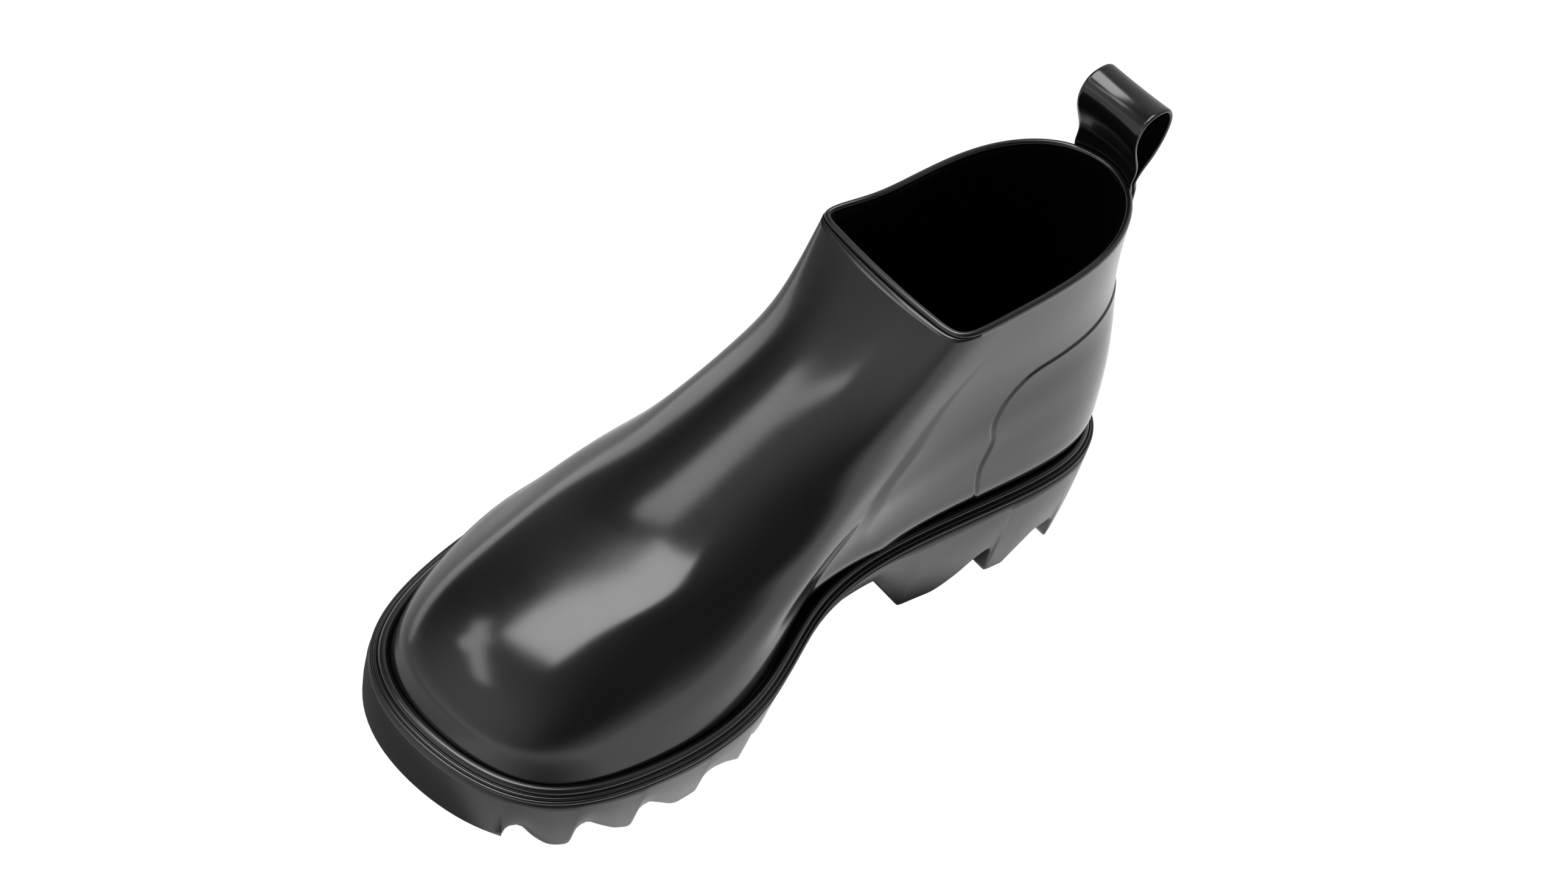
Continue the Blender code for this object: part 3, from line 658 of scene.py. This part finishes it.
def moulded_sole(finish):
    """Lugged sole and heel block with rounded edges and slightly bulging sides."""
    line, inward = tread_profile()
    ys, heights = line.T
    rows, columns = len(ys), SOLE_ACROSS + 1
    edge = perimeter(rows, columns)
    row_of = np.array(edge) // columns
    flare = table(SIDE_FLARE, ys) * (1 - heights / welt_line(ys))
    outer = table(OUTER_FLARE, ys) * (1 - heights / welt_line(ys))
    push = inward.copy()
    push[[0, -1]] = (0, 1)

    loops = []
    for angle in np.linspace(0, np.pi / 2, 5):
        reach = flare - EDGE_ROUND * (1 - np.sin(angle))
        plan = sole_grid(ys, reach, SOLE_ACROSS, outer).reshape(-1, 2)[edge]
        shift = EDGE_ROUND * (1 - np.cos(angle)) * push[row_of]
        loops.append(np.c_[plan[:, 0], plan[:, 1] + shift[:, 0], heights[row_of] + shift[:, 1]])
    start = loops[-1]
    for share in np.linspace(0, 1, 9)[1:]:
        bulge = SIDE_BULGE * np.sin(np.pi * share)
        reach = flare * (1 - share) + bulge
        plan = sole_grid(ys, reach, SOLE_ACROSS, outer * (1 - share)).reshape(-1, 2)[edge]
        y = plan[:, 1] + EDGE_ROUND * push[row_of, 0] * (1 - share)
        loops.append(np.c_[plan[:, 0], y, start[:, 2] * (1 - share) + welt_line(y) * share])
    tub_ys = np.interp(ys, (ys[0], ys[-1]), (-116, 118))
    tub = sole_grid(tub_ys, -TUB_INSET, SOLE_ACROSS).reshape(-1, 2)
    brim = tub[edge]
    loops.append(np.c_[brim, welt_line(brim[:, 1])])

    inner = sole_grid(ys, flare - EDGE_ROUND, SOLE_ACROSS, outer)
    bottom = np.dstack([inner, np.broadcast_to(heights[:, None], inner.shape[:2])]).reshape(-1, 3)
    bottom[edge] = loops[0]
    floor = np.c_[tub, welt_line(tub[:, 1]) - table(TUB_DEPTH, tub[:, 1])]
    vertices, faces = [bottom], [grid_faces(rows, columns)[:, ::-1]]
    below = np.array(edge)
    count = len(bottom)
    for loop in loops[1:]:
        here = count + np.arange(len(edge))
        vertices.append(loop)
        faces.append(strip_faces(below, here))
        below, count = here, count + len(edge)
    vertices.append(floor)
    faces += [strip_faces(below, count + np.array(edge)), grid_faces(rows, columns, count)]
    return add_mesh("moulded_sole", np.vstack(vertices), np.vstack(faces), finish)


def insole_pad(cloth, cushion):
    """Moulded foam insole with a cloth top: cupped at the heel, raised at the arch, rounded edges."""
    ys = np.linspace(-106, 109, 64)
    rows, columns = len(ys), 25
    sheets = []
    inset = np.interp(ys, (-106, -60, 0), (17.5, 16.6, 15.6))
    for shrink, rise in ((0.0, 0.0), (0.0, 3.2), (0.5, 4.3), (1.4, 4.9)):
        plan = sole_grid(ys, -inset - shrink, columns - 1)
        z = welt_line(plan[..., 1]) + 1.4 + rise
        sheets.append(np.dstack([plan, z]))
    top = sheets[-1]
    side = np.linspace(-1, 1, columns)[None, :]
    y = top[..., 1]
    cup = 0.9 * side ** 4 * smooth_step((y - 30) / 50)
    arch = 1.0 * np.clip(side, 0, 1) ** 2 * np.exp(-((y - 10) / 32) ** 2)
    middle = 0.35 * (1 - side ** 2)
    top[..., 2] += np.minimum(cup + arch + middle, 1.0) - 0.4
    edge = perimeter(rows, columns)
    vertices, faces = [sheets[0].reshape(-1, 3)], [grid_faces(rows, columns)[:, ::-1]]
    below, count = np.array(edge), rows * columns
    for sheet in sheets[1:-1]:
        vertices.append(sheet.reshape(-1, 3)[edge])
        here = count + np.arange(len(edge))
        faces.append(strip_faces(below, here))
        below, count = here, count + len(edge)
    vertices.append(top.reshape(-1, 3))
    faces += [strip_faces(below, count + np.array(edge)), grid_faces(rows, columns, count)]
    made = add_mesh("insole_pad", np.vstack(vertices), np.vstack(faces), cushion, cloth)
    cloth_from = sum(len(f) for f in faces[:3])
    made.data.polygons.foreach_set("material_index",
                                   [int(k >= cloth_from) for k in range(len(made.data.polygons))])
    return made


def back_rows(offset):
    """Rows of points across the outside of the boot's back, moved out."""
    uu, vv = np.meshgrid(np.linspace(-0.08, 0.08, 81), np.linspace(0.8, 1.0, 41))
    points, normal = upper_points(uu, vv)
    return points + normal * offset


def down_back(rows, x, zs):
    """Line down the back at one x, read from those rows at the given heights."""
    read = np.array([[np.interp(x, row[:, 0], row[:, k]) for k in (1, 2)] for row in rows])
    return np.c_[np.full(len(zs), x), np.interp(zs, read[:, 1], read[:, 0]), zs]


def pull_strap(finish):
    """One strip of rubber: bonded to the back, up, over in a loop and down again onto itself."""
    across = np.r_[-1, -0.985, -0.95, np.linspace(-0.9, 0.9, 23), 0.95, 0.985, 1]
    bottom = upper_points(np.zeros(1), np.array([TAB_ROOT_LEVEL]))[0][0, 2]
    below = np.linspace(bottom, TAB_ROOT_TOP, 30)
    near, far = (back_rows(layer) for layer in TAB_LAYERS)
    loop = open_through(TAB_LINE, np.linspace(0, 1, 400))
    heights = loop[:, 1]
    lines = []
    for side in across:
        hollow = 1 - side ** 2
        x = table(TAB_LEAN, heights) + side * table(TAB_HALF, heights)
        y = loop[:, 0] + TAB_BOW * hollow * (1 - 0.75 * (heights - 145) / 30)
        z = heights - TAB_SAG * hollow * smooth_step((heights - 160) / 16)
        foot = TAB_LEAN[0][1] + side * TAB_HALF[0][1]
        lines.append(np.vstack([down_back(near, foot, below), np.c_[x, y, z],
                                down_back(far, foot, below)[::-1]]))
    lines = np.array(lines)
    middle = lines.mean(0)
    length = np.r_[0, np.cumsum(np.linalg.norm(np.diff(middle, axis=0), axis=1))]
    want = np.linspace(0, length[-1], 200)
    grid = np.array([[np.interp(want, length, line[:, k]) for k in range(3)] for line in lines])
    grid = grid.transpose(0, 2, 1)
    for _ in range(8):
        grid[:, 1:-1] = (grid[:, :-2] + 2 * grid[:, 1:-1] + grid[:, 2:]) / 4
    step = np.gradient(grid, axis=1)
    normal = np.dstack([np.zeros(step.shape[:2]), step[..., 2], -step[..., 1]])
    normal /= np.linalg.norm(normal, axis=2)[..., None]
    edge = np.clip((np.abs(across) - 0.93) / 0.07, 0, 1)
    thick = TAB_THICK / 2 * np.maximum(np.sqrt(1 - edge ** 2), 0.2)
    lap = [(k, 1) for k in range(len(across))] + [(k, -1) for k in range(len(across) - 1, -1, -1)]
    rings = np.array([grid[k] + normal[k] * face * thick[k] for k, face in lap]).transpose(1, 0, 2)
    count = rings.shape[1]
    faces = [ring_faces(len(rings), count, wrap=False)]
    for end in (0, (len(rings) - 1) * count):
        for k in range(len(across) - 1):
            quad = (end + k, end + k + 1, end + count - 2 - k, end + count - 1 - k)
            faces.append(np.array([quad if end == 0 else quad[::-1]]))
    return add_mesh("pull_strap", rings.reshape(-1, 3), np.vstack(faces), finish)


# ---- studio -----------------------------------------------------------------------------------------
CAMERA_TURN = (42.4, 45.94, 11.97)
CAMERA_PLACE = (0.3315, -0.35695, 0.5848)
LENS = 50.85
FLOOR_GLOW = (0.75, 1.45)
# FLOOR_SHADE: middle and reach in x and y, in metres, of the painted shade on the floor's glow under the
# sole
FLOOR_SHADE = ((-0.03, 0.072), (-0.03, 0.16))


def studio_camera():
    azimuth, elevation, roll = np.radians(CAMERA_TURN)
    back = np.array((np.sin(azimuth) * np.cos(elevation), -np.cos(azimuth) * np.cos(elevation),
                     np.sin(elevation)))
    right = np.array((np.cos(azimuth), np.sin(azimuth), 0.0))
    up = np.cross(back, right)
    turned_right = np.cos(roll) * right + np.sin(roll) * up
    turned_up = -np.sin(roll) * right + np.cos(roll) * up
    data = bpy.data.cameras.new("studio_camera")
    data.lens, data.sensor_width = LENS, 36.0
    data.clip_start, data.clip_end = 0.01, 50.0
    camera = bpy.data.objects.new("studio_camera", data)
    turn = Matrix(np.array((turned_right, turned_up, back)).T.tolist()).to_4x4()
    camera.matrix_world = Matrix.Translation(CAMERA_PLACE) @ turn
    bpy.context.scene.collection.objects.link(camera)
    bpy.context.scene.camera = camera


def softbox(name, place, facing, size, radiance, shape="RECTANGLE", turn=0):
    """Light of even radiance, turned in degrees about the way it faces."""
    data = bpy.data.lights.new(name, "AREA")
    data.shape, data.size, data.size_y = shape, *size
    data.energy = radiance * np.pi * size[0] * size[1] * (np.pi / 4 if shape == "ELLIPSE" else 1)
    light = bpy.data.objects.new(name, data)
    light.location = place
    aim = Vector(facing).to_track_quat("-Z", "Y")
    light.rotation_euler = (aim @ Quaternion((0, 0, 1), np.radians(turn))).to_euler()
    light.visible_camera = False
    bpy.context.scene.collection.objects.link(light)
    return light


def arithmetic(tree):
    """Maker of math nodes in a node tree, taking numbers or sockets."""
    def make(kind, a, b):
        made = tree.nodes.new("ShaderNodeMath")
        made.operation = kind
        for socket, value in zip(made.inputs, (a, b)):
            if isinstance(value, bpy.types.NodeSocket):
                tree.links.new(value, socket)
            else:
                socket.default_value = value
        return made.outputs[0]

    return make


def glow_world(lobes, base, horizon):
    """White backdrop to the eye; to the glossy rubber, a dim room with broad glows and a low horizon."""
    world = bpy.data.worlds.new("studio_room")
    bpy.context.scene.world = world
    world.use_nodes = True
    nodes, links = world.node_tree.nodes, world.node_tree.links
    background = nodes["Background"]
    direction = nodes.new("ShaderNodeTexCoord").outputs["Generated"]
    math = arithmetic(world.node_tree)
    azimuth, strength, flatness = horizon
    side = nodes.new("ShaderNodeVectorMath")
    side.operation = "DOT_PRODUCT"
    side.inputs[1].default_value = (np.sin(np.radians(azimuth)), -np.cos(np.radians(azimuth)), 0)
    links.new(direction, side.inputs[0])
    up = nodes.new("ShaderNodeSeparateXYZ")
    links.new(direction, up.inputs[0])
    low = math("POWER", math("SUBTRACT", 1.0, math("MULTIPLY", up.outputs[2], up.outputs[2])), flatness)
    facing = math("ADD", 0.5, math("MULTIPLY", 0.5, side.outputs["Value"]))
    total = math("ADD", base, math("MULTIPLY", math("MULTIPLY", low, facing), strength))
    for azimuth, elevation, strength, power in lobes:
        a, e = np.radians((azimuth, elevation))
        dot = nodes.new("ShaderNodeVectorMath")
        dot.operation = "DOT_PRODUCT"
        dot.inputs[1].default_value = (np.sin(a) * np.cos(e), -np.cos(a) * np.cos(e), np.sin(e))
        links.new(direction, dot.inputs[0])
        lobe = math("POWER", math("MAXIMUM", dot.outputs["Value"], 0.0), power)
        total = math("ADD", total, math("MULTIPLY", lobe, strength))
    eye = nodes.new("ShaderNodeLightPath").outputs["Is Camera Ray"]
    total = math("ADD", math("MULTIPLY", total, math("SUBTRACT", 1.0, eye)), math("MULTIPLY", 1.05, eye))
    links.new(total, background.inputs["Strength"])
    background.inputs["Color"].default_value = (1, 1, 1, 1)


def pale_floor(size, drop):
    """White floor to the eye; its glow on the boot grows to the inner side, and a painted shade cuts that
    glow down under the sole.
    """
    mesh = bpy.data.meshes.new("pale_floor")
    half = size / 2
    corners = [(-half, -half, -drop), (half, -half, -drop), (half, half, -drop), (-half, half, -drop)]
    mesh.from_pydata(corners, [], [(0, 1, 2, 3)])
    floor = bpy.data.objects.new("pale_floor", mesh)
    bpy.context.scene.collection.objects.link(floor)
    finish = Finish("white_floor", Roughness=0.9, Specular_IOR_Level=0.0)
    finish.set("Base Color", finish.between(finish.noise(0.5), (0.05, 0.05, 0.05), (0.06, 0.06, 0.06)))
    finish.shader.inputs["Emission Color"].default_value = (1, 1, 1, 1)
    across = finish.node("ShaderNodeSeparateXYZ", Vector=finish.place)
    math = arithmetic(finish.tree)
    glow = finish.node("ShaderNodeMapRange", Value=across.outputs[0], From_Min=-0.25, From_Max=0.25,
                       To_Min=FLOOR_GLOW[0], To_Max=FLOOR_GLOW[1]).outputs[0]
    # Painted shade: inside a rounded box under the sole the floor's glow drops to a small share, standing
    # in for the shade the boot casts on the floor
    far = 0.0
    for axis, (middle, reach) in enumerate(FLOOR_SHADE):
        apart = math("DIVIDE", math("SUBTRACT", across.outputs[axis], middle), reach)
        far = math("ADD", math("POWER", math("ABSOLUTE", apart, 0), 4.0), far)
    painted_shade_factor = finish.node("ShaderNodeMapRange", Value=far, From_Min=0.7, From_Max=1.2, To_Min=0.08,
                           To_Max=1.0).outputs[0]
    eye = finish.tree.nodes.new("ShaderNodeLightPath").outputs["Is Camera Ray"]
    seen = math("MULTIPLY", math("MULTIPLY", glow, painted_shade_factor), math("SUBTRACT", 1.0, eye))
    finish.set("Emission Strength", math("ADD", seen, eye))
    mesh.materials.append(finish.made)


def light_studio():
    bpy.context.scene.view_settings.view_transform = "Standard"
    glow_world([(-5, 30, 0.95, 4.0), (190, 10, 0.98, 1.5)], 0.1, (40, 1.15, 30.0))
    softbox("overhead_box", (-0.26, -0.04, 1.2), (0, 0, -1), (0.57, 0.83), 7.6, turn=7)
    softbox("left_strip", (-0.71, -0.79, 1.2), (0, 0, -1), (0.2, 0.5), 4.3, turn=-26)
    softbox("toe_strip", (-0.54, -0.89, 1.2), (0, 0, -1), (0.23, 0.86), 4.0, turn=33)
    softbox("left_card", (-1.3, 0.05, 0.04), (1, 0, 0), (1.95, 0.42), 1.8, "ELLIPSE")
    pale_floor(8.0, 0.0004)


# ---- assembly ---------------------------------------------------------------------------------------
def dress_hidden_nodes():
    """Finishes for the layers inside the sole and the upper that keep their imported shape."""
    board = fibre_board("pressed_board", (0.0004, 0.0004, 0.0004), (0.0008, 0.0008, 0.0008))
    fibre = fibre_board("stiff_fibre", (0.0006, 0.0006, 0.0006), (0.001, 0.001, 0.001))
    light_foam = foam("light_foam", (0.04, 0.04, 0.045), (0.07, 0.07, 0.075))
    for names, finish in ((("insole_board",), board), (("toe_puff", "counter_stiffener"), fibre),
                          (("heel_core", "forefoot_filler"), light_foam),
                          (("shank",), rolled_steel("shank_steel"))):
        for name in names:
            mesh = frame["nodes"][name].data
            mesh.materials.clear()
            mesh.materials.append(finish)


def build():
    shiny = (0.0030, 0.0030, 0.0031), (0.0042, 0.0042, 0.0043)
    gloss = rubber("gloss_rubber", *shiny, 0.15, 0.18, 1.5, 8)
    trim = rubber("trim_rubber", *shiny, 0.17, 0.2, 0, 4)
    satin = rubber("satin_rubber", (0.0085, 0.0085, 0.0088), (0.011, 0.011, 0.0114), 0.30, 0.35, 6, 10)
    lining_knit = knit("lining_knit", (0.0002, 0.0002, 0.0002), (0.0005, 0.0005, 0.0005))
    pad_cloth = knit("insole_cloth", (0.0003, 0.0003, 0.0003), (0.0008, 0.0008, 0.0008))
    pad_foam = foam("insole_foam", (0.03, 0.03, 0.032), (0.05, 0.05, 0.052))
    for made, nodes, slot in ((moulded_sole(satin), ("outsole",), "outsole"),
                              (welt_strip(trim), ("welt",), "welt"),
                              (upper_skin(gloss), ("upper_shell", "heel_counter"), "upper_shell"),
                              (rim_bead(gloss), ("topline_binding",), "topline_binding"),
                              (lining_skin(lining_knit), ("lining",), "lining"),
                              (insole_pad(pad_cloth, pad_foam), ("footbed", "footbed_cover"),
                               "footbed_cover")):
        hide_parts(*nodes)
        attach(made, "boot")
    strap = pull_strap(gloss)
    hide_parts("pull_tab", "pull_tab_root")
    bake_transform(strap)
    dress_hidden_nodes()


studio_camera()
light_studio()
build()
